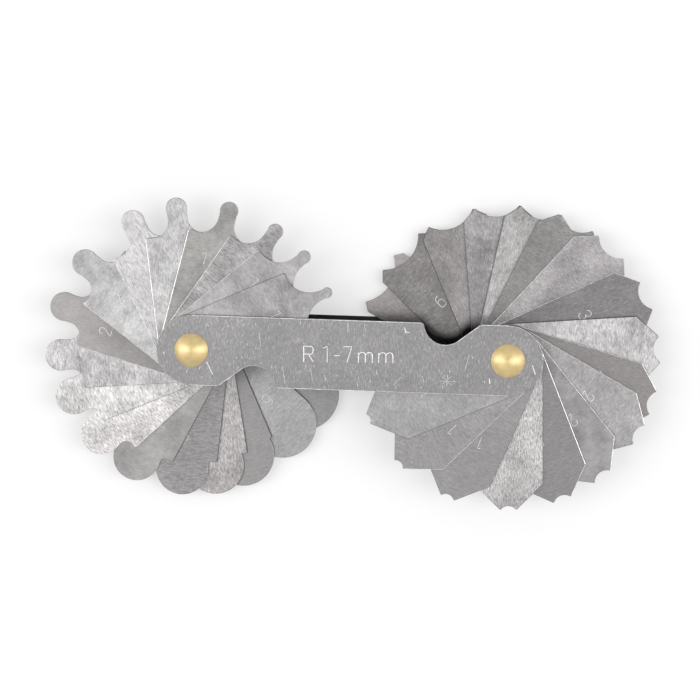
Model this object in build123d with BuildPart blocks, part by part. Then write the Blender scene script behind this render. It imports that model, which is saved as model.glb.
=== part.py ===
from build123d import *
import os
from math import cos, radians, sin, sqrt

# A double-ended radius gauge: two fans of thin steel blades, each blade turning on a
# brass rivet between two steel holder plates. The left fan has round heads that check
# inside radii, the right fan has round notches that check outside radii.
# Frame: the outer face of the rear plate lies in Z = 0, the origin is midway between
# the rivets, +X runs along the holder to the notched fan and +Z is the front.

# The gauge radii, from the blade under the front plate down to the one on the rear plate
GAUGE_RADII = [1, 1.25, 1.5, 1.75, 2, 2.25, 2.5, 2.75, 3, 3.5, 4, 4.5, 5, 5.5, 6, 6.5, 7]

# How the blades lie when fanned open, in degrees from +X, in the order of the radii
CONVEX_LAY = [24.7, 41.2, 56.4, 76.7, 98.3, 117.2, 143.6, 164.3, 185.2,
              203.8, 224.3, 243.3, 264.9, 280.4, 294.5, 319.2, 337.0]
CONCAVE_LAY = [204.7, 225.8, 248.4, 272.1, 293.0, 310.6, 331.8, 344.9, 5.3,
               26.3, 49.0, 65.3, 79.3, 96.0, 114.3, 137.6, 150.8]

# Blades of both fans
blade_width = 13.0
blade_thickness = 0.5
blade_gap = 0.03             # running gap above and below each blade

# Convex blades: a finger with a round head stands out of a square shoulder
convex_reach = 28.6          # from the rivet axis to the tip of the head
shoulder_reach = 21.6        # from the rivet axis to the shoulder
neck_relief = 0.12           # how far the neck lies inside the head on each side
shoulder_round = 0.3         # on the shoulder's outer corners
shoulder_round_share = 0.3   # and no more than this share of the step at the shoulder
root_fillet_share = 0.65     # root fillet, as a share of the neck's length
least_root_fillet = 0.3      # where the head meets the shoulder with hardly any neck
small_radius_limit = 2.0     # heads below this radius run into the shoulder in a wider sweep
small_radius_gain = 0.25     # by how much the share grows for each mm below that limit
least_shoulder_flat = 0.05   # left between a root fillet and the shoulder's corner
head_blend = 1.0             # fillet where a head wider than the body meets its sides

# Concave blades: a round notch between two corners sloped at 45 degrees
concave_reach = 28.35        # from the rivet axis to the lands beside the notch
land_width = 0.25
notch_half_angle = 54.0      # half the arc of the notch as its radius nears zero
notch_angle_fall = 1.2       # degrees taken off for each mm of radius
least_corner_slope = 0.5

# Holder plates: a slot shape with a thumb notch near each end, on opposite edges
tip_clearance = 1.8          # between the tips of both fans when the blades are folded in
plate_overhang = 0.1         # of the plate past a folded blade, on each side
plate_thickness = 1.0
plate_edge_break = 0.12
thumb_notch_radius = 4.0
thumb_notch_inset = 12.3     # from the rivet axis to the notch's centre, along the holder
thumb_ramp_angle = 37.5      # the notch runs out towards the rivet on this slope
thumb_corner_round = 0.6

# Rivets: a domed head on the front plate, a shank and a countersunk tail in the rear plate
shank_diameter = 4.0
bore_clearance = 0.05        # radial, blade on shank
plate_clearance = 0.01       # radial, holder plate on shank and on the tail's cone
head_diameter = 6.3
head_rim_height = 0.15
dome_height = 1.2
tail_land = 0.2              # straight wall of the rear plate's hole above the countersink

# Sizes that follow from those above
blade_count = len(GAUGE_RADII)
blade_half = blade_width / 2
plate_half = blade_half + plate_overhang
longest_convex = convex_reach + max(0, max(GAUGE_RADII) - blade_half)
rivet_pitch = longest_convex + concave_reach + tip_clearance
rivet_x = rivet_pitch / 2
shank_radius = shank_diameter / 2
head_radius = head_diameter / 2
tail_depth = plate_thickness - tail_land
tail_radius = shank_radius + tail_depth
bore_radius = shank_radius + bore_clearance
plate_hole_radius = shank_radius + plate_clearance
stack_floor = plate_thickness + blade_gap
blade_step = blade_thickness + blade_gap
front_plate_level = stack_floor + blade_count * blade_step
holder_height = front_plate_level + plate_thickness
near = 0.001                 # half the band in which a corner is found by its place
shoulder_band = (shoulder_reach - near, shoulder_reach + near)


def blade_plane(side, order, lay_angle):
    """Plane with its origin on the rivet axis, its X along the blade and at its lower face."""
    level = stack_floor + (blade_count - 1 - order) * blade_step
    along = (cos(radians(lay_angle)), sin(radians(lay_angle)), 0)
    return Plane(origin=(side * rivet_x, 0, level), x_dir=along, z_dir=(0, 0, 1))


def blade_name(kind, radius):
    """Node name, such as convex_blade_r1_25 for the radius 1.25."""
    return f"{kind}_blade_r{radius:g}".replace(".", "_")


def convex_blade(radius, order, lay_angle):
    """A blade whose round head checks an inside radius."""
    head_centre = convex_reach - min(radius, blade_half)
    has_shoulder = radius < blade_half
    body_end = shoulder_reach if has_shoulder else head_centre
    with BuildPart() as blade:
        with BuildSketch(blade_plane(-1, order, lay_angle)) as outline:
            Circle(blade_half)
            with Locations((body_end / 2, 0)):
                Rectangle(body_end, blade_width)
            with Locations((head_centre, 0)):
                Circle(radius)
            if has_shoulder:
                neck_half = radius - neck_relief
                neck_length = head_centre - sqrt(radius**2 - neck_half**2) - shoulder_reach
                share = root_fillet_share + small_radius_gain * max(0, small_radius_limit - radius)
                root_fillet = max(share * neck_length, least_root_fillet)
                if neck_length > root_fillet:
                    with Locations((head_centre / 2, 0)):
                        Rectangle(head_centre, 2 * neck_half)
                low_corner, low_root, high_root, high_corner = (
                    outline.vertices().filter_by_position(Axis.X, *shoulder_band).sort_by(Axis.Y))
                step = high_corner.Y - high_root.Y
                corner_round = min(shoulder_round, shoulder_round_share * step)
                room = step - corner_round - least_shoulder_flat
                fillet([low_root, high_root], radius=min(root_fillet, room))
                corners = outline.vertices().filter_by_position(Axis.X, *shoulder_band)
                fillet(corners.sort_by(Axis.Y)[0::len(corners) - 1], radius=corner_round)
            elif radius > blade_half:
                beside_head = outline.vertices().filter_by_position(Axis.X, blade_half, head_centre)
                fillet(beside_head, radius=head_blend)
            Circle(bore_radius, mode=Mode.SUBTRACT)
        extrude(amount=blade_thickness)
    return blade


def concave_blade(radius, order, lay_angle):
    """A blade whose round notch checks an outside radius."""
    half_angle = radians(notch_half_angle - notch_angle_fall * radius)
    widest_chord = blade_half - land_width - least_corner_slope
    half_chord = min(radius * sin(half_angle), widest_chord)
    notch_centre = concave_reach + sqrt(radius**2 - half_chord**2)
    with BuildPart() as blade:
        with BuildSketch(blade_plane(1, order, lay_angle)) as outline:
            Circle(blade_half)
            with Locations((concave_reach / 2, 0)):
                Rectangle(concave_reach, blade_width)
            tip_corners = outline.vertices().group_by(Axis.X)[-1]
            chamfer(tip_corners, length=blade_half - half_chord - land_width)
            with Locations((notch_centre, 0)):
                Circle(radius, mode=Mode.SUBTRACT)
            Circle(bore_radius, mode=Mode.SUBTRACT)
        extrude(amount=blade_thickness)
    return blade


# Outline of the thumb notch by the right rivet: an arc cut into the upper edge and a
# ramp that leaves the arc at a tangent and comes out towards the rivet
notch_x = rivet_x - thumb_notch_inset
ramp = radians(thumb_ramp_angle)
ramp_foot = (notch_x + thumb_notch_radius * sin(ramp), plate_half - thumb_notch_radius * cos(ramp))
ramp_top = (notch_x + thumb_notch_radius / sin(ramp), plate_half)
with BuildSketch() as thumb_notch:
    with Locations((notch_x, plate_half)):
        Circle(thumb_notch_radius)
    with BuildLine():
        Polyline((notch_x, plate_half), ramp_foot, ramp_top, close=True)
    make_face()

# Outline shared by both holder plates
with BuildSketch() as holder_outline:
    SlotCenterToCenter(rivet_pitch, 2 * plate_half)
    with PolarLocations(radius=0, count=2):
        add(thumb_notch.sketch, mode=Mode.SUBTRACT)
    notch_lips = [v for v in holder_outline.vertices()
                  if abs(abs(v.Y) - plate_half) < near and abs(v.X) < rivet_x - near]
    fillet(notch_lips, radius=thumb_corner_round)

# Front holder plate, flat, with its outer edge broken
with BuildPart() as front_plate:
    with BuildSketch(Plane.XY.offset(front_plate_level)):
        add(holder_outline.sketch)
    extrude(amount=plate_thickness)
    outer_face = front_plate.faces().sort_by(Axis.Z)[-1]
    chamfer(outer_face.outer_wire().edges(), length=plate_edge_break)
    with Locations((-rivet_x, 0, holder_height), (rivet_x, 0, holder_height)):
        Hole(plate_hole_radius)
front_plate.part.label = "front_plate"

# Rear holder plate, with a countersink in its outer face for each rivet's tail
with BuildPart() as rear_plate:
    with BuildSketch(Plane.XY):
        add(holder_outline.sketch)
    extrude(amount=plate_thickness)
    outer_face = rear_plate.faces().sort_by(Axis.Z)[0]
    chamfer(outer_face.outer_wire().edges(), length=plate_edge_break)
    with Locations(Plane.XY.rotated((180, 0, 0))):
        with Locations((-rivet_x, 0), (rivet_x, 0)):
            CounterSinkHole(plate_hole_radius, tail_radius + plate_clearance, counter_sink_angle=90)
rear_plate.part.label = "rear_plate"


def rivet(side):
    """A brass rivet: its domed head on the front plate, its tail spread in the countersink."""
    section = Plane(origin=(side * rivet_x, 0, 0), x_dir=(1, 0, 0), z_dir=(0, -1, 0))
    rim_level = holder_height + head_rim_height
    dome_radius = (head_radius**2 + dome_height**2) / (2 * dome_height)
    with BuildPart() as turned:
        with BuildSketch(section):
            with BuildLine():
                Polyline((0, 0), (tail_radius, 0), (shank_radius, tail_depth),
                         (shank_radius, holder_height), (head_radius, holder_height),
                         (head_radius, rim_level))
                RadiusArc((head_radius, rim_level), (0, rim_level + dome_height), -dome_radius)
                Line((0, rim_level + dome_height), (0, 0))
            make_face()
        revolve(axis=Axis((side * rivet_x, 0, 0), (0, 0, 1)))
    return turned


left_rivet = rivet(-1)
left_rivet.part.label = "left_rivet"
right_rivet = rivet(1)
right_rivet.part.label = "right_rivet"

os.makedirs("parts", exist_ok=True)
export_step(front_plate.part, "parts/front_plate.step")
export_step(rear_plate.part, "parts/rear_plate.step")
export_step(left_rivet.part, "parts/left_rivet.step")
export_step(right_rivet.part, "parts/right_rivet.step")

for order, radius in enumerate(GAUGE_RADII):
    for kind, make_blade, lay in (("convex", convex_blade, CONVEX_LAY),
                                  ("concave", concave_blade, CONCAVE_LAY)):
        blade = make_blade(radius, order, lay[order])
        blade.part.label = blade_name(kind, radius)
        export_step(blade.part, f"parts/{blade.part.label}.step")
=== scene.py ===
import bmesh
import bpy
from math import atan2, cos, pi, radians, sin
from mathutils import Matrix, Vector


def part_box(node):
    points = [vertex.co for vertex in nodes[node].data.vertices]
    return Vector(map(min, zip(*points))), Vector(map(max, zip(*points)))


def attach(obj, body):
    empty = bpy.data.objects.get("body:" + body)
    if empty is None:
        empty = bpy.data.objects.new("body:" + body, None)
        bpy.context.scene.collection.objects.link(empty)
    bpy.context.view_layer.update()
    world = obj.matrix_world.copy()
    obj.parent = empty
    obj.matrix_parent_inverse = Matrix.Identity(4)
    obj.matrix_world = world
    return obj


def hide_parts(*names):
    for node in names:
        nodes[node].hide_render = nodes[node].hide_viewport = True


# A double-ended radius gauge, fanned open and lying on its back on a pale table. The CAD
# frame holds: metres, the rear plate's outer face in Z = 0, the notched fan towards +X.
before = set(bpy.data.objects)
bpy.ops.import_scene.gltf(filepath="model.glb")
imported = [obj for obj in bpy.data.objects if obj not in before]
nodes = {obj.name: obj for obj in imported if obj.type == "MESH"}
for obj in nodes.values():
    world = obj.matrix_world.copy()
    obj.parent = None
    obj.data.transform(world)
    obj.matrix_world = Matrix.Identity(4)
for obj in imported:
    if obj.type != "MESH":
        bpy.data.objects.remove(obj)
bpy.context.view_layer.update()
MM = 0.001

# Holder plates. Cold rolled steel strip, 1 mm, blanked to a slot shape with two thumb
# notches, then ground lightly across its width. The blades run between the two of them.
PLATE_TONE = "#787777"
PLATE_GRAIN = 88             # degrees from +X
NOTCH_SHIFT = 0.5            # mm nearer to its rivet than in the source, as measured later
NOTCH_NEAR, NOTCH_FAR = 12, 25     # mm from the middle of the holder, to each side
NOTCH_FOOT = 2               # mm from the middle line, below which no corner is moved
FACE_SLOPE = 0.95            # the least slope of a normal up or down that makes a face
WALL_SLOPE = 0.3             # and the most that makes a wall; between them lies a rim
WELD = 0.0005                # mm, within which two corners are one
# The mouth of the right thumb notch, in mm, round which the lowest blades get painted shadow
MOUTH = (17.8, 7.4)
UNSHADED_RADIUS, SHADED_RADIUS = 3.1, 4.6
SHADE_STARTS, SHADE_FULL = 0.4, -2.4   # above the mouth's middle, so the painted shadow lies below it


def linear(colour):
    """An sRGB hex colour as linear RGBA."""
    channels = [int(colour[i:i + 2], 16) / 255 for i in (1, 3, 5)]
    return [c / 12.92 if c <= 0.04045 else ((c + 0.055) / 1.055) ** 2.4 for c in channels] + [1.0]


def shade(colour, factor):
    """The same hex colour, lighter or darker."""
    channels = [min(255, round(int(colour[i:i + 2], 16) * factor)) for i in (1, 3, 5)]
    return "#%02x%02x%02x" % tuple(channels)


def add_node(tree, kind, settings=None, links=None):
    """Adds a node, gives its properties and input values, and links its inputs."""
    node = tree.nodes.new(kind)
    for name, value in (settings or {}).items():
        if isinstance(name, int) or name in node.inputs:
            node.inputs[name].default_value = value
        else:
            setattr(node, name, value)
    for name, source in (links or {}).items():
        tree.links.new(source, node.inputs[name])
    return node


def new_material(name):
    """A material without nodes, and its node tree."""
    material = bpy.data.materials.new(name)
    material.use_nodes = True
    material.node_tree.nodes.clear()
    return material, material.node_tree


def ground_steel(name, tone, grain, centre=(0, 0), bite=1.0, cloud=1.0, seed=0.0, nicks=0.0,
                 gloss=0.36, lie=0.75, notch_shadow=False):
    """Bare steel, surface ground: fine straight lines at the grain angle, in degrees from +X.
    Light spreads across the lines, so a face is bright where they stand across the lamps. The
    real lines are about 0.05 mm apart; they are drawn 0.2 mm wide, which is what shows. The
    lowest blades get painted shadow, the front plate's shadow on them: black where they go
    under the plates, outside a lit patch in the mouth of the right notch."""
    material, tree = new_material(name)
    place = add_node(tree, "ShaderNodeTexCoord")
    lines = add_node(tree, "ShaderNodeMapping",
                     {"vector_type": "TEXTURE", "Location": (centre[0], centre[1], 0),
                      "Rotation": (0, 0, radians(grain)), "Scale": (0.9 * MM, 0.2 * MM, 1)},
                     {"Vector": place.outputs["Object"]})
    wheel_marks = add_node(tree, "ShaderNodeTexNoise",
                           {"noise_dimensions": "4D", "W": seed, "Scale": 1.0, "Detail": 2.0,
                            "Roughness": 0.7},
                           {"Vector": lines.outputs["Vector"]})
    # slow changes of tone, a few millimetres across: wear and handling, and painted sheen where a slightly
    # warped sheet catches the lamps
    wear_and_sheen = add_node(tree, "ShaderNodeTexNoise",
                    {"noise_dimensions": "4D", "W": seed + 0.5, "Scale": 130.0, "Detail": 4.0,
                     "Roughness": 0.75},
                    {"Vector": place.outputs["Object"]})
    # painted glints: pale flecks in the colour, most of all in the pale patches
    glint_noise = add_node(tree, "ShaderNodeTexNoise",
                     {"noise_dimensions": "4D", "W": seed + 9.0, "Scale": 1.5, "Detail": 1.0},
                     {"Vector": lines.outputs["Vector"]})
    glint_mask = add_node(tree, "ShaderNodeMath", {"operation": "MULTIPLY_ADD", 1: 0.35},
                    {0: wear_and_sheen.outputs["Fac"], 2: glint_noise.outputs["Fac"]})
    painted_glint = add_node(tree, "ShaderNodeMapRange",
                     {"From Min": 0.72, "From Max": 0.86, "To Min": 0.0, "To Max": 0.14 * bite},
                     {"Value": glint_mask.outputs["Value"]})
    tint = add_node(tree, "ShaderNodeValToRGB", {}, {"Fac": wheel_marks.outputs["Fac"]})
    tint.color_ramp.elements[0].position = 0.32
    tint.color_ramp.elements[0].color = linear(shade(tone, 1 - 0.12 * bite))
    tint.color_ramp.elements[1].position = 0.68
    tint.color_ramp.elements[1].color = linear(shade(tone, 1 + 0.12 * bite))
    stain_and_sheen = add_node(tree, "ShaderNodeMapRange",
                     {"From Min": 0.3, "From Max": 0.7, "To Min": 1 - 0.15 * cloud,
                      "To Max": 1 + 0.15 * cloud},
                     {"Value": wear_and_sheen.outputs["Fac"]})
    worn_and_sheened = add_node(tree, "ShaderNodeMix",
                    {"data_type": "RGBA", "blend_type": "MULTIPLY", 0: 1.0},
                    {6: tint.outputs["Color"], 7: stain_and_sheen.outputs["Result"]})
    colour = add_node(tree, "ShaderNodeMix", {"data_type": "RGBA", 7: linear("#e6e6e4")},
                      {0: painted_glint.outputs["Result"], 6: worn_and_sheened.outputs[2]})
    if nicks:
        # knocks from the tool box: short pale cuts, here and there, roughly along the lines
        cuts = add_node(tree, "ShaderNodeMapping",
                        {"vector_type": "TEXTURE", "Rotation": (0, 0, radians(grain + 4)),
                         "Scale": (0.8 * MM, 0.24 * MM, 1)},
                        {"Vector": place.outputs["Object"]})
        knocks = add_node(tree, "ShaderNodeTexNoise", {"Scale": 0.9, "Detail": 1.0},
                          {"Vector": cuts.outputs["Vector"]})
        pale = add_node(tree, "ShaderNodeMapRange",
                        {"From Min": 0.68, "From Max": 0.78, "To Min": 0.0, "To Max": nicks},
                        {"Value": knocks.outputs["Fac"]})
        colour = add_node(tree, "ShaderNodeMix", {"data_type": "RGBA", 7: linear("#e0e0e0")},
                          {0: pale.outputs["Result"], 6: colour.outputs[2]})
    if notch_shadow:
        # painted shadow: black below the notch's mouth and outside the lit patch round it
        mouth = add_node(tree, "ShaderNodeMapping",
                         {"vector_type": "TEXTURE", "Location": (MOUTH[0] * MM, MOUTH[1] * MM, 0),
                          "Scale": (MM, MM, 1)},
                         {"Vector": place.outputs["Object"]})
        level = add_node(tree, "ShaderNodeVectorMath", {"operation": "MULTIPLY", 1: (1, 1, 0)},
                         {0: mouth.outputs["Vector"]})
        away = add_node(tree, "ShaderNodeVectorMath", {"operation": "LENGTH"},
                        {0: level.outputs["Vector"]})
        outside_lit_patch = add_node(tree, "ShaderNodeMapRange", {"From Min": UNSHADED_RADIUS, "From Max": SHADED_RADIUS},
                           {"Value": away.outputs["Value"]})
        along = add_node(tree, "ShaderNodeSeparateXYZ", {}, {"Vector": level.outputs["Vector"]})
        below_mouth = add_node(tree, "ShaderNodeMapRange",
                           {"From Min": SHADE_FULL, "From Max": SHADE_STARTS, "To Min": 0.97, "To Max": 0.0},
                           {"Value": along.outputs["Y"]})
        painted_shadow = add_node(tree, "ShaderNodeMath", {"operation": "MULTIPLY"},
                          {0: outside_lit_patch.outputs["Result"], 1: below_mouth.outputs["Result"]})
        colour = add_node(tree, "ShaderNodeMix", {"data_type": "RGBA", 7: linear("#0c0b0a")},
                          {0: painted_shadow.outputs["Value"], 6: colour.outputs[2]})
    rough = add_node(tree, "ShaderNodeMapRange",
                     {"From Min": 0.3, "From Max": 0.7, "To Min": gloss - 0.05, "To Max": gloss + 0.06},
                     {"Value": wheel_marks.outputs["Fac"]})
    relief = add_node(tree, "ShaderNodeBump", {"Strength": 1.0, "Distance": 0.005 * bite * MM},
                      {"Height": wheel_marks.outputs["Fac"]})
    across = add_node(tree, "ShaderNodeCombineXYZ",
                      {"X": -sin(radians(grain)), "Y": cos(radians(grain)), "Z": 0.0})
    turned = add_node(tree, "ShaderNodeVectorTransform",
                      {"vector_type": "VECTOR", "convert_from": "OBJECT", "convert_to": "WORLD"},
                      {"Vector": across.outputs["Vector"]})
    metal = add_node(tree, "ShaderNodeBsdfPrincipled", {"Metallic": 1.0, "Anisotropic": lie},
                     {"Base Color": colour.outputs[2], "Roughness": rough.outputs["Result"],
                      "Normal": relief.outputs["Normal"], "Tangent": turned.outputs["Vector"]})
    add_node(tree, "ShaderNodeOutputMaterial", {}, {"Surface": metal.outputs["BSDF"]})
    return material


def plain_steel(name, tone, rough, patch):
    """Steel that no wheel has touched: a wall, a rim or an inner face, most with painted light or shade.
    The tone wanders in patches of the given size in mm."""
    material, tree = new_material(name)
    place = add_node(tree, "ShaderNodeTexCoord")
    patches = add_node(tree, "ShaderNodeTexNoise", {"Scale": 1 / (patch * MM), "Detail": 2.0},
                       {"Vector": place.outputs["Object"]})
    tint = add_node(tree, "ShaderNodeValToRGB", {}, {"Fac": patches.outputs["Fac"]})
    tint.color_ramp.elements[0].position = 0.35
    tint.color_ramp.elements[0].color = linear(shade(tone, 0.82))
    tint.color_ramp.elements[1].position = 0.65
    tint.color_ramp.elements[1].color = linear(shade(tone, 1.05))
    metal = add_node(tree, "ShaderNodeBsdfPrincipled", {"Metallic": 1.0, "Roughness": rough},
                     {"Base Color": tint.outputs["Color"]})
    add_node(tree, "ShaderNodeOutputMaterial", {}, {"Surface": metal.outputs["BSDF"]})
    return material


def joined_copy(node):
    """A bmesh copy of a node's own mesh, its corners joined and its flat faces made whole."""
    shape = bmesh.new()
    shape.from_mesh(nodes[node].data)
    bmesh.ops.remove_doubles(shape, verts=shape.verts, dist=WELD * MM)
    bmesh.ops.dissolve_limit(shape, angle_limit=radians(0.5), verts=shape.verts, edges=shape.edges)
    return shape


def stand(name, data):
    """Puts an object with the given mesh, curve, lamp or camera in the scene."""
    thing = bpy.data.objects.new(name, data)
    bpy.context.scene.collection.objects.link(thing)
    return thing


def placed(shape, name, materials):
    """Makes a piece of a bmesh, which it uses up."""
    bmesh.ops.triangulate(shape, faces=[f for f in shape.faces if len(f.verts) > 4])
    mesh = bpy.data.meshes.new(name)
    shape.to_mesh(mesh)
    shape.free()
    for material in materials:
        mesh.materials.append(material)
    return stand(name, mesh)


plate_steel = ground_steel("ground_steel_plates", PLATE_TONE, PLATE_GRAIN, bite=0.8, cloud=0.5,
                           nicks=0.55, gloss=0.42, lie=0.4)
# the plates' chamfers: near white, a painted highlight along their edges
plate_rim_highlight = plain_steel("steel_rim_painted_highlight", "#f4f4f2", 0.32, 0.8)
# open rims of the blades: near white as a painted highlight, dark as a painted shadow
blade_rim_highlight = plain_steel("blade_rim_painted_highlight", "#eeeeec", 0.32, 0.8)
blade_rim_shadow = plain_steel("blade_rim_painted_shadow", "#5c5c5c", 0.45, 0.8)
sheared_wall = plain_steel("sheared_steel_wall", "#8c8b8a", 0.5, 0.5)
# the plates' walls: dark, painted shade for the dark line along the plates' edges
plate_wall_painted_shade = plain_steel("steel_wall_painted_shade", "#5a5856", 0.5, 0.5)
# the plates' inner faces: nearly black, painted shade between the two plates
inner_face_painted_shade = plain_steel("steel_inner_face_painted_shade", "#302f2e", 0.5, 2.0)
for node, inner in (("rear_plate", 1), ("front_plate", -1)):
    shape = joined_copy(node)
    for corner in shape.verts:
        side = 1 if corner.co.x > 0 else -1
        along, aside = side * corner.co.x / MM, side * corner.co.y / MM
        if NOTCH_NEAR < along < NOTCH_FAR and aside > NOTCH_FOOT:
            corner.co.x += side * NOTCH_SHIFT * MM
    for face in shape.faces:
        face.normal_update()
        slope = face.normal.z * inner
        # inner faces take the painted shade, chamfers the painted highlight, walls the darkened tone
        if slope > FACE_SLOPE:
            face.material_index = 3
        elif abs(slope) < WALL_SLOPE:
            face.material_index = 2
        elif abs(slope) < FACE_SLOPE:
            face.material_index = 1
    plate = placed(shape, node + "_ground", [plate_steel, plate_rim_highlight, plate_wall_painted_shade, inner_face_painted_shade])
    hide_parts(node)
    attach(plate, "holder")


def give(piece, material):
    """Gives a piece one material, in every slot that it has."""
    if not piece.data.materials:
        piece.data.materials.append(material)
    for i in range(len(piece.data.materials)):
        piece.data.materials[i] = material


# Blades of both fans. Hardened spring steel strip, 0.5 mm, stamped, then surface ground on
# the faces with the lines along or across the strip. Each turns on its rivet and bears its
# radius, etched with its top towards the tip.
GAUGE_RADII = [1, 1.25, 1.5, 1.75, 2, 2.25, 2.5, 2.75, 3, 3.5, 4, 4.5, 5, 5.5, 6, 6.5, 7]
CONVEX_LAY = [24.7, 41.2, 56.4, 76.7, 98.3, 117.2, 143.6, 164.3, 185.2,
              203.8, 224.3, 243.3, 264.9, 280.4, 294.5, 319.2, 337.0]
CONCAVE_LAY = [204.7, 225.8, 248.4, 272.1, 293.0, 310.6, 331.8, 344.9, 5.3,
               26.3, 49.0, 65.3, 79.3, 96.0, 114.3, 137.6, 150.8]
# Angle of the ground lines from the blade's own length in degrees, and the tone of its steel;
# the dark tones of the notched fan's blades R 5.5 and R 6 are painted shade
CONVEX_GRIND = [90, 90, 88, 88, 5, 4, 88, 0, 90, 88, 90, 90, 92, 3, 90, 88, 0]
CONCAVE_GRIND = [90, 90, 90, 0, 90, 90, 90, 0, 88, 0, 90, 88, 0, 0, 2, 90, 0]
CONVEX_TONE = ["#807e7f", "#989596", "#979595", "#9c9a98", "#8b8a8a", "#a4a2a3", "#959494",
               "#949190", "#8b898a", "#a3a1a0", "#b7b4b4", "#a09d9d", "#918e8f", "#898686",
               "#8c8a8a", "#8c8b8c", "#959595"]
CONCAVE_TONE = ["#858484", "#8c8a8b", "#949292", "#8c8a8a", "#8c8a8b", "#959394", "#8f8d8e",
                "#898685", "#8f8d8e", "#807e7e", "#949192", "#8b8988", "#7c7a7a", "#706e6f",
                "#767373", "#777474", "#a09c9b"]
# How deep the wheel bit and how much the tone wanders: both differ from blade to blade
CONVEX_BITE = [0.8, 0.7, 1.4, 0.6, 1.2, 1.5, 0.9, 0.5, 1.5, 1.8, 2.3, 0.5, 1.1, 1.7, 0.6, 0.8, 0.6]
CONCAVE_BITE = [0.8, 0.8, 0.6, 1.9, 0.6, 0.4, 1.0, 0.6, 1.3, 0.8, 1.4, 0.8, 1.0, 0.9, 0.9, 0.9, 0.8]
CONVEX_CLOUD = [3.0, 2.2, 2.6, 2.1, 2.1, 0.5, 3.0, 1.2, 3.0, 3.0, 3.0, 1.8, 0.6, 1.6, 0.2, 1.0, 0.5]
CONCAVE_CLOUD = [1.6, 0.5, 0.3, 1.6, 0.2, 2.5, 1.5, 0.3, 3.0, 1.1, 2.0, 1.1, 3.0, 2.9, 1.8, 1.7, 0.8]
# The four lowest blades of the notched fan get painted shadow round the edge of the right
# thumb notch: nearly black, the front plate's shadow on them
FIRST_SHADOWED = {"convex": 17, "concave": 13}
# The break of the rims in mm, and the tone of each rim that lies open: b near white, a painted highlight, d
# dark, a painted shadow
CONVEX_BREAK = [0.05, 0.07, 0.07, 0.09, 0.09, 0.1, 0.09, 0.1, 0.05, 0.06, 0.04, 0.06, 0.09, 0.08,
                0.1, 0.06, 0.06]
CONVEX_RIM = "d b b b b b b b d d d d d d d d d".split()
CONCAVE_BREAK = [0.06, 0.08, 0.04, 0.06, 0.09, 0.08, 0.07, 0.08, 0.1, 0.09, 0.08, 0.04, 0.1, 0.06,
                 0.12, 0.05, 0.05]
CONCAVE_RIM = "d b d d b b b b d b b d d d d d d".split()
OPEN_RIM = {"convex": 6.2, "concave": 3.0}     # mm aside of the middle line, where it starts
RIVET_X = 29.625 * MM
# Numbers, in mm: their foot from the rivet's axis, the figures' size and the etched line
MARK_FOOT = {"convex": 15.9, "concave": 15.4}
DIGIT_WIDTH, DIGIT_HEIGHT, DIGIT_PITCH = 1.2, 2.2, 1.5
DIGIT_LINE = 0.13
LINE_THICKNESS = 0.008       # of every mark, half of it sunk in the steel
# Each figure and letter as the strokes of the engraving point, in a cell 1 wide and 1 high;
# a stroke is either straight runs or one smooth curve drawn by its control points
STROKES = {
    "1": [("run", [(0.1, 0.9), (0.62, 1.0), (0.62, 0.0)])],
    "2": [("curve", [(0.05, 0.72), (0.05, 1.04), (1.0, 1.06), (1.0, 0.6), (0.5, 0.36), (0.04, 0.0)]),
          ("run", [(0.04, 0.0), (1.0, 0.0)])],
    "3": [("curve", [(0.05, 0.8), (0.1, 1.04), (0.98, 1.05), (0.98, 0.55), (0.4, 0.54)]),
          ("curve", [(0.4, 0.54), (1.04, 0.55), (1.05, -0.04), (0.05, -0.06), (0.0, 0.22)])],
    "4": [("run", [(0.72, 0.0), (0.72, 1.0), (0.0, 0.3), (1.0, 0.3)])],
    "5": [("run", [(0.9, 1.0), (0.18, 1.0), (0.1, 0.56)]),
          ("curve", [(0.1, 0.56), (0.4, 0.68), (1.02, 0.66), (1.02, -0.04), (0.3, -0.05), (0.0, 0.14)])],
    "6": [("curve", [(0.84, 0.98), (0.3, 1.0), (0.02, 0.7), (0.02, 0.3), (0.04, -0.05), (0.98, -0.05),
                     (1.0, 0.3), (0.96, 0.62), (0.1, 0.64), (0.03, 0.36)])],
    "7": [("run", [(0.0, 1.0), (1.0, 1.0), (0.42, 0.0)])],
    ".": [("run", [(0.16, 0.0), (0.16, 0.03)])],
    "/": [("run", [(0.0, 0.0), (1.0, 1.0)])],
    "-": [("run", [(0.1, 0.42), (0.9, 0.42)])],
    "R": [("run", [(0.0, 0.0), (0.0, 1.0)]),
          ("curve", [(0.0, 1.0), (0.5, 1.0), (0.98, 0.98), (0.98, 0.5), (0.5, 0.5), (0.0, 0.5)]),
          ("run", [(0.5, 0.5), (1.0, 0.0)])],
    "m": [("run", [(0.0, 0.0), (0.0, 0.64)]),
          ("curve", [(0.0, 0.42), (0.04, 0.64), (0.5, 0.66), (0.5, 0.4)]), ("run", [(0.5, 0.4), (0.5, 0.0)]),
          ("curve", [(0.5, 0.42), (0.54, 0.64), (1.0, 0.66), (1.0, 0.4)]), ("run", [(1.0, 0.4), (1.0, 0.0)])],
}


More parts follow.
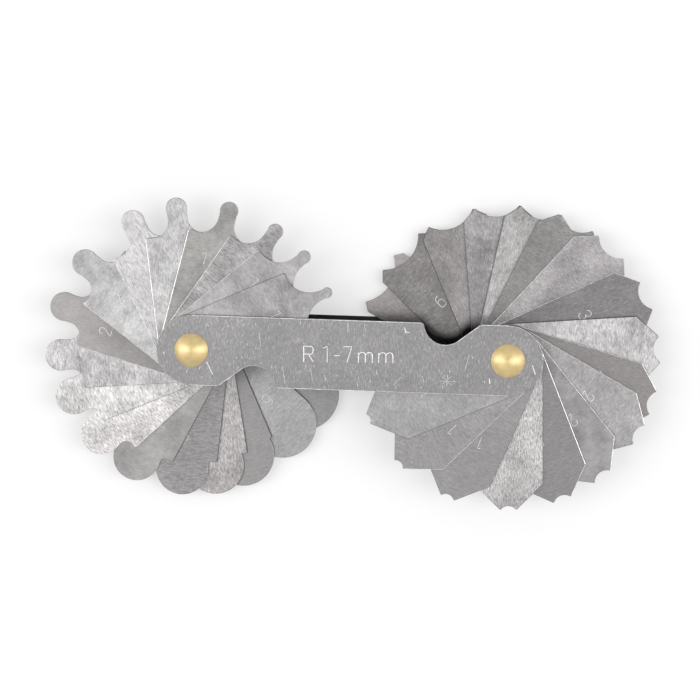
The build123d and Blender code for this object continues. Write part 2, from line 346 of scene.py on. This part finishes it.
def broken_rims(node, axis_x, lay, size, open_from, materials):
    """A joined copy of a blade's own mesh with the rims of both faces broken by a light hone.
    The materials are those of the faces, of the sheared wall and of the rim that lies open in
    the fan, which starts so many mm to one side of the blade's middle line."""
    shape = joined_copy(node)
    rims = [e for e in shape.edges if len(e.link_faces) == 2
            and abs(e.link_faces[0].normal.z - e.link_faces[1].normal.z) > 0.9]
    bmesh.ops.bevel(shape, geom=rims, offset=size * MM, offset_type="OFFSET", affect="EDGES",
                    segments=2, profile=0.5, material=-1, clamp_overlap=True)
    open_side = Vector((-sin(radians(lay)), cos(radians(lay)), 0))
    for face in shape.faces:
        face.normal_update()
        aside = (face.calc_center_median() - Vector((axis_x, 0, 0))).dot(open_side)
        if abs(face.normal.z) < WALL_SLOPE:
            face.material_index = 1
        elif abs(face.normal.z) < FACE_SLOPE and aside > open_from * MM:
            face.material_index = 2
    return placed(shape, node + "_honed", materials)


def engraved(name, letters, line):
    """Words as thin closed ridges in the XY plane. Each letter is given with the place of its
    lower left corner, its width and its height, and line is the stroke's width, all in mm."""
    strokes = bpy.data.curves.new(name, "CURVE")
    strokes.dimensions = "3D"
    strokes.bevel_depth = line / 2 * MM
    strokes.bevel_resolution = 1
    strokes.use_fill_caps = True
    for letter, x, y, width, height in letters:
        for kind, points in STROKES[letter]:
            spline = strokes.splines.new("POLY" if kind == "run" else "NURBS")
            spline.points.add(len(points) - 1)
            for point, (u, v) in zip(spline.points, points):
                point.co = ((x + u * width) * MM, (y + v * height) * MM, 0, 1)
            if kind == "curve":
                spline.order_u = 3
                spline.use_endpoint_u = True
                spline.resolution_u = 3
    path = stand(name + "_strokes", strokes)
    bpy.context.view_layer.update()
    mesh = bpy.data.meshes.new_from_object(path.evaluated_get(bpy.context.evaluated_depsgraph_get()))
    mesh.name = name
    mesh.transform(Matrix.Diagonal((1, 1, LINE_THICKNESS / line, 1)))
    bpy.data.objects.remove(path)
    bpy.data.curves.remove(strokes)
    return stand(name, mesh)


def etch_ink(name, colour, rough):
    """Electro-etched steel: the bared metal is matt and pale, or dark where oxide stays."""
    material, tree = new_material(name)
    place = add_node(tree, "ShaderNodeTexCoord")
    bite = add_node(tree, "ShaderNodeTexNoise", {"Scale": 4000.0, "Detail": 2.0},
                    {"Vector": place.outputs["Object"]})
    tint = add_node(tree, "ShaderNodeValToRGB", {}, {"Fac": bite.outputs["Fac"]})
    tint.color_ramp.elements[0].position = 0.35
    tint.color_ramp.elements[0].color = linear(shade(colour, 0.85))
    tint.color_ramp.elements[1].position = 0.65
    tint.color_ramp.elements[1].color = linear(colour)
    metal = add_node(tree, "ShaderNodeBsdfPrincipled", {"Metallic": 0.6, "Roughness": rough},
                     {"Base Color": tint.outputs["Color"]})
    add_node(tree, "ShaderNodeOutputMaterial", {}, {"Surface": metal.outputs["BSDF"]})
    return material


pale_etch = etch_ink("etched_steel_pale", "#e2e2e0", 0.6)
for kind, side, lays, grinds, tones, bites, clouds, breaks, rims in (
        ("convex", -1, CONVEX_LAY, CONVEX_GRIND, CONVEX_TONE, CONVEX_BITE, CONVEX_CLOUD,
         CONVEX_BREAK, CONVEX_RIM),
        ("concave", 1, CONCAVE_LAY, CONCAVE_GRIND, CONCAVE_TONE, CONCAVE_BITE, CONCAVE_CLOUD,
         CONCAVE_BREAK, CONCAVE_RIM)):
    for order, radius in enumerate(GAUGE_RADII):
        lay = lays[order]
        node = f"{kind}_blade_r{radius:g}".replace(".", "_")
        face_steel = ground_steel("ground_steel_" + node, tones[order], lay + grinds[order],
                                  (side * RIVET_X, 0), bites[order], clouds[order],
                                  seed=order * 2.3, notch_shadow=order >= FIRST_SHADOWED[kind])
        painted_rim = blade_rim_highlight if rims[order] == "b" else blade_rim_shadow
        blade = broken_rims(node, side * RIVET_X, lay, breaks[order], OPEN_RIM[kind],
                            [face_steel, sheared_wall, painted_rim])
        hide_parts(node)
        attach(blade, node)
        figures = f"{radius:g}"
        left = -(len(figures) * DIGIT_PITCH - (DIGIT_PITCH - DIGIT_WIDTH)) / 2
        mark = engraved("number_" + node,
                        [(figure, left + i * DIGIT_PITCH, 0, DIGIT_WIDTH, DIGIT_HEIGHT)
                         for i, figure in enumerate(figures)], DIGIT_LINE)
        spot = Matrix.Translation((side * RIVET_X, 0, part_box(node)[1].z))
        mark.data.transform(spot @ Matrix.Rotation(radians(lay), 4, "Z")
                            @ Matrix.Translation((MARK_FOOT[kind] * MM, 0, 0))
                            @ Matrix.Rotation(radians(-90), 4, "Z"))
        give(mark, pale_etch)
        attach(mark, node)

# Marks on the front plate. The range is engraved in it, and handling has left scratches,
# each given by its start, its run and its rise in mm.
RANGE = [("R", -8.5, 0, 1.8, 2.95), ("1", -5.0, 0, 1.45, 2.95), ("-", -2.95, 0, 1.4, 2.95),
         ("7", -1.05, 0, 1.55, 2.95), ("m", 1.75, 0, 2.6, 2.95), ("m", 5.55, 0, 2.65, 2.95)]
SCRATCHES = [(-12.4, -2.5, 0.5, -3.0), (-4.4, -3.8, 0.1, -1.1), (-25.1, 6.3, 0.4, -0.7),
             (-23.3, 5.9, 0.3, -0.7), (-26.8, 5.0, 0.4, -0.4), (-16.9, 3.7, 0.3, -2.6),
             (-0.5, 5.9, 0.1, -1.7), (-7.2, -2.5, 0.6, -2.8), (-9.3, 6.2, 0.1, -0.7),
             (-21.1, 6.2, 0.2, -0.9), (-0.4, 6.3, 0.3, -1.9), (2.7, 6.0, 0.2, -1.3),
             (13.1, 5.5, 0.6, -1.2), (8.5, -5.2, 1.4, 1.5), (13.8, -3.4, 0.3, -1.2),
             (17.0, -4.2, 3.1, 0.0), (17.5, -3.4, 1.9, -1.6), (18.5, -2.9, -0.1, -2.3),
             (19.3, -3.2, -1.7, -1.5), (17.6, -5.1, 0.1, -0.6), (22.4, 0.9, -0.7, -2.9),
             (24.2, 0.0, 0.1, -0.7), (5.2, -2.5, 0.1, -0.9), (1.7, -5.0, 0.1, -0.8)]
DEEP_SCRATCHES = [(-26.7, -2.1, 1.2, -2.3), (10.2, 5.6, 0.3, -0.9), (10.2, 4.8, 0.9, -0.1),
                  (34.2, -0.6, 0.6, -1.8), (26.3, -3.4, 0.1, -1.0)]
RANGE_LINE, FINE_LINE, DEEP_LINE = 0.18, 0.09, 0.16
RANGE_TURN = 1.2             # degrees, and how far its foot lies below the middle line, in mm
RANGE_DROP = 1.3
faint_cut = etch_ink("scratched_steel", "#d2d2d0", 0.45)
bright_cut = etch_ink("gouged_steel", "#f4f4f2", 0.4)
plate_top = Matrix.Translation((0, 0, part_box("front_plate")[1].z))
legend = engraved("engraved_range", RANGE, RANGE_LINE)
legend.data.transform(Matrix.Rotation(radians(RANGE_TURN), 4, "Z")
                      @ Matrix.Translation((0, -RANGE_DROP * MM, 0)))
scratches = engraved("fine_scratches", [("/",) + cut for cut in SCRATCHES], FINE_LINE)
gouges = engraved("deep_scratches", [("/",) + cut for cut in DEEP_SCRATCHES], DEEP_LINE)
for mark, material in ((legend, bright_cut), (scratches, faint_cut), (gouges, bright_cut)):
    mark.data.transform(plate_top)
    give(mark, material)
    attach(mark, "holder")

# Rivets. Turned brass, the head domed and polished; the tail is spread in the rear plate's
# countersink and filed flush.
# Sizes in mm, as in the source
HEAD_RADIUS = 3.15
RIM_HEIGHT = 0.15
DOME_HEIGHT = 1.2
SHANK_RADIUS = 2.0
TAIL_RADIUS = 2.8
TAIL_DEPTH = 0.8
DOME_STEPS = 14
TURN_STEPS = 72
CREASE = 35                  # degrees, above which an edge stays sharp
BRASS_TONE = "#c6b07a"


def turned_brass(name, centre):
    """Free cutting brass, turned: fine rings round the axis, so light spreads in a bow from the
    middle towards each lamp, under a thin clear lacquer that whitens it."""
    material, tree = new_material(name)
    place = add_node(tree, "ShaderNodeTexCoord")
    from_axis = add_node(tree, "ShaderNodeMapping",
                         {"vector_type": "TEXTURE", "Location": (centre, 0, 0)},
                         {"Vector": place.outputs["Object"]})
    outwards = add_node(tree, "ShaderNodeVectorMath", {"operation": "MULTIPLY", 1: (1, 1, 0)},
                        {0: from_axis.outputs["Vector"]})
    ray = add_node(tree, "ShaderNodeVectorTransform",
                   {"vector_type": "VECTOR", "convert_from": "OBJECT", "convert_to": "WORLD"},
                   {"Vector": outwards.outputs["Vector"]})
    tarnish = add_node(tree, "ShaderNodeTexNoise", {"Scale": 700.0, "Detail": 3.0},
                       {"Vector": place.outputs["Object"]})
    tint = add_node(tree, "ShaderNodeValToRGB", {}, {"Fac": tarnish.outputs["Fac"]})
    tint.color_ramp.elements[0].position = 0.3
    tint.color_ramp.elements[0].color = linear(shade(BRASS_TONE, 0.93))
    tint.color_ramp.elements[1].position = 0.7
    tint.color_ramp.elements[1].color = linear(shade(BRASS_TONE, 1.04))
    rough = add_node(tree, "ShaderNodeMapRange",
                     {"From Min": 0.3, "From Max": 0.7, "To Min": 0.44, "To Max": 0.52},
                     {"Value": tarnish.outputs["Fac"]})
    metal = add_node(tree, "ShaderNodeBsdfPrincipled",
                     {"Metallic": 1.0, "Anisotropic": 0.4, "Coat Weight": 1.0, "Coat Roughness": 0.28,
                      "Coat IOR": 1.6},
                     {"Base Color": tint.outputs["Color"], "Roughness": rough.outputs["Result"],
                      "Tangent": ray.outputs["Vector"]})
    add_node(tree, "ShaderNodeOutputMaterial", {}, {"Surface": metal.outputs["BSDF"]})
    return material


holder_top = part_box("front_plate")[1].z / MM
for node, side in (("left_rivet", -1), ("right_rivet", 1)):
    dome_radius = (HEAD_RADIUS ** 2 + DOME_HEIGHT ** 2) / (2 * DOME_HEIGHT)
    crown = holder_top + RIM_HEIGHT + DOME_HEIGHT
    slope = atan2(HEAD_RADIUS, dome_radius - DOME_HEIGHT)
    profile = [(0, 0), (TAIL_RADIUS, 0), (SHANK_RADIUS, TAIL_DEPTH), (SHANK_RADIUS, holder_top),
               (HEAD_RADIUS, holder_top)]
    for i in range(DOME_STEPS + 1):
        lean = slope * (1 - i / DOME_STEPS)
        profile.append((dome_radius * sin(lean), crown - dome_radius * (1 - cos(lean))))
    shape = bmesh.new()
    points = [shape.verts.new((x * MM, 0, z * MM)) for x, z in profile]
    edges = [shape.edges.new(pair) for pair in zip(points, points[1:])]
    bmesh.ops.spin(shape, geom=points + edges, cent=(0, 0, 0), axis=(0, 0, 1), angle=2 * pi,
                   steps=TURN_STEPS, use_merge=True)
    bmesh.ops.remove_doubles(shape, verts=shape.verts, dist=WELD * MM)
    bmesh.ops.recalc_face_normals(shape, faces=shape.faces)
    bmesh.ops.translate(shape, vec=(side * RIVET_X, 0, 0), verts=shape.verts)
    mesh = bpy.data.meshes.new(node + "_turned")
    shape.to_mesh(mesh)
    shape.free()
    mesh.shade_smooth()
    mesh.set_sharp_from_angle(angle=radians(CREASE))
    rivet = stand(node + "_turned", mesh)
    give(rivet, turned_brass("turned_brass_" + node, side * RIVET_X))
    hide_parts(node)
    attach(rivet, "holder")

# Table: a plain white sheet, which keeps the gauge's soft shadow. It lies just below the gauge
# and reaches far past the view from the side.
TABLE_REACH = 30.0           # m
TABLE_DROP = 0.02            # mm
GLOW = 0.45                  # the share of white that a straight look adds
floor_shape = bmesh.new()
bmesh.ops.create_grid(floor_shape, x_segments=1, y_segments=1, size=TABLE_REACH)
bmesh.ops.translate(floor_shape, vec=(0, 0, -TABLE_DROP * MM), verts=floor_shape.verts)
floor_mesh = bpy.data.meshes.new("table")
floor_shape.to_mesh(floor_mesh)
floor_shape.free()
table = stand("table", floor_mesh)


def seen_straight(tree):
    """1 where the camera, or a mirror or glass, looks straight at the surface, else 0."""
    rays = add_node(tree, "ShaderNodeLightPath")
    seen = add_node(tree, "ShaderNodeMath", {"operation": "MAXIMUM"},
                    {0: rays.outputs["Is Camera Ray"], 1: rays.outputs["Is Glossy Ray"]})
    seen = add_node(tree, "ShaderNodeMath", {"operation": "MAXIMUM"},
                    {0: seen.outputs["Value"], 1: rays.outputs["Is Transmission Ray"]})
    return seen.outputs["Value"]


white_sheet, tree = new_material("matt_white_card")
glow_share = add_node(tree, "ShaderNodeMath", {"operation": "MULTIPLY", 1: GLOW},
                      {0: seen_straight(tree)})
paper = add_node(tree, "ShaderNodeBsdfDiffuse", {"Color": linear("#f4f4f4")})
glow = add_node(tree, "ShaderNodeEmission", {"Color": (1, 1, 1, 1), "Strength": 1.0})
blend = add_node(tree, "ShaderNodeMixShader", {},
                 {0: glow_share.outputs["Value"], 1: paper.outputs["BSDF"], 2: glow.outputs["Emission"]})
add_node(tree, "ShaderNodeOutputMaterial", {}, {"Surface": blend.outputs["Shader"]})
give(table, white_sheet)

# Studio: two tall soft boxes, left and right, leaning over the table, and an even pale surround
# that lights at 0.65 and looks white.
LAMP_POWER = 2.4             # W
LAMP_WIDTH, LAMP_HEIGHT = 0.34, 0.7
LAMP_DISTANCE = 0.8
LAMP_ELEVATION = 52          # degrees above the table
LAMP_AZIMUTHS = {"soft_box_left": 178, "soft_box_right": 2}
SURROUND_LIGHT = 0.65
for name, azimuth in LAMP_AZIMUTHS.items():
    lamp = bpy.data.lights.new(name, "AREA")
    lamp.shape = "RECTANGLE"
    lamp.size = LAMP_WIDTH
    lamp.size_y = LAMP_HEIGHT
    lamp.energy = LAMP_POWER
    soft_box = stand(name, lamp)
    height, bearing = radians(LAMP_ELEVATION), radians(azimuth)
    aim = Vector((cos(bearing) * cos(height), sin(bearing) * cos(height), sin(height)))
    side_axis = Vector((0, 0, 1)).cross(aim).normalized()
    rise = aim.cross(side_axis)
    soft_box.matrix_world = (Matrix.Translation(aim * LAMP_DISTANCE)
                             @ Matrix((side_axis, rise, aim)).transposed().to_4x4())

world = bpy.data.worlds.new("pale_studio")
bpy.context.scene.world = world
world.use_nodes = True
tree = world.node_tree
tree.nodes.clear()
strength = add_node(tree, "ShaderNodeMapRange", {"To Min": SURROUND_LIGHT, "To Max": 1.0},
                    {"Value": seen_straight(tree)})
surround = add_node(tree, "ShaderNodeBackground", {"Color": (1, 1, 1, 1)},
                    {"Strength": strength.outputs["Result"]})
add_node(tree, "ShaderNodeOutputWorld", {}, {"Surface": surround.outputs["Background"]})

# Camera. It looks down nearly straight from half a metre, through a long lens, as the
# photograph was taken, and is turned a little about its own axis.
TOWARDS_CAMERA = Vector((0.05722, 0.09585, 0.99375)).normalized()
CAMERA_DISTANCE = 0.5
CAMERA_ASIDE = -0.00049      # m along the picture's own right
ROLL = radians(1.97)
SENSOR_WIDTH, FOCAL_LENGTH = 36, 134.71     # mm
level_x = (Vector((1, 0, 0)) - TOWARDS_CAMERA * TOWARDS_CAMERA.x).normalized()
level_y = TOWARDS_CAMERA.cross(level_x)
right = level_x * cos(ROLL) + level_y * sin(ROLL)
up = level_y * cos(ROLL) - level_x * sin(ROLL)
lens = bpy.data.cameras.new("camera")
lens.sensor_width = SENSOR_WIDTH
lens.lens = FOCAL_LENGTH
lens.clip_start = 0.01
camera = stand("camera", lens)
turn = Matrix((right, up, TOWARDS_CAMERA)).transposed().to_4x4()
spot = TOWARDS_CAMERA * CAMERA_DISTANCE + right * CAMERA_ASIDE
camera.matrix_world = Matrix.Translation(spot) @ turn
bpy.context.scene.camera = camera

bpy.context.scene.view_settings.view_transform = "Standard"
